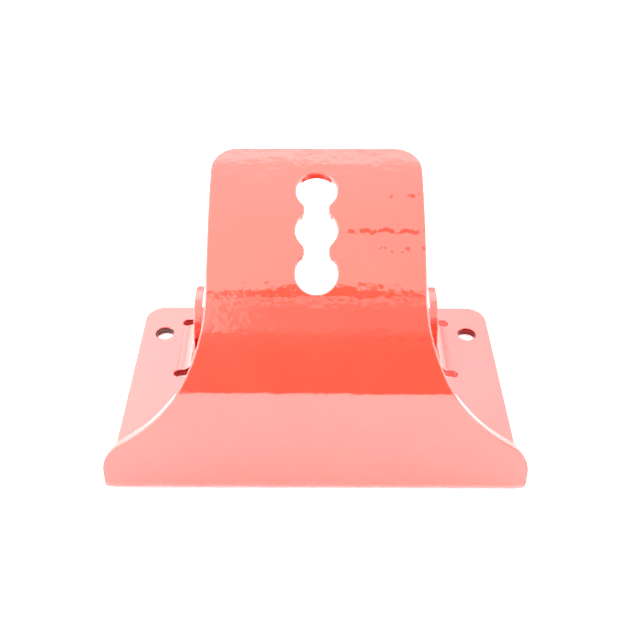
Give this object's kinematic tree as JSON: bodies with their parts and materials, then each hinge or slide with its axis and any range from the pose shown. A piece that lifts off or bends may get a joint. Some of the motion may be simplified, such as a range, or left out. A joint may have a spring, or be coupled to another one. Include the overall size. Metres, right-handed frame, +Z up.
{
  "type": "folded sheet phone mount bracket",
  "caption": "Red powder-coated bracket folded from one steel sheet: a base plate with screw holes and folded ears, and a waisted upright that curls back, with a lobed slot.",
  "frame": {"origin": "middle of the plan, on the underside of the base plate", "axes": "+Z up from the base plate, -Y towards the front bend that the upright rises from, +X to the right seen from the front"},
  "size_m": [0.13, 0.0912, 0.0877],
  "materials": {
    "powder_coat": "gloss red powder coat"
  },
  "bodies": {
    "root": {"base_plate": "powder_coat", "front_bend": "powder_coat", "waisted_skirt": "powder_coat", "slotted_neck": "powder_coat", "left_ear": "powder_coat", "right_ear": "powder_coat"}
  },
  "joints": []
}
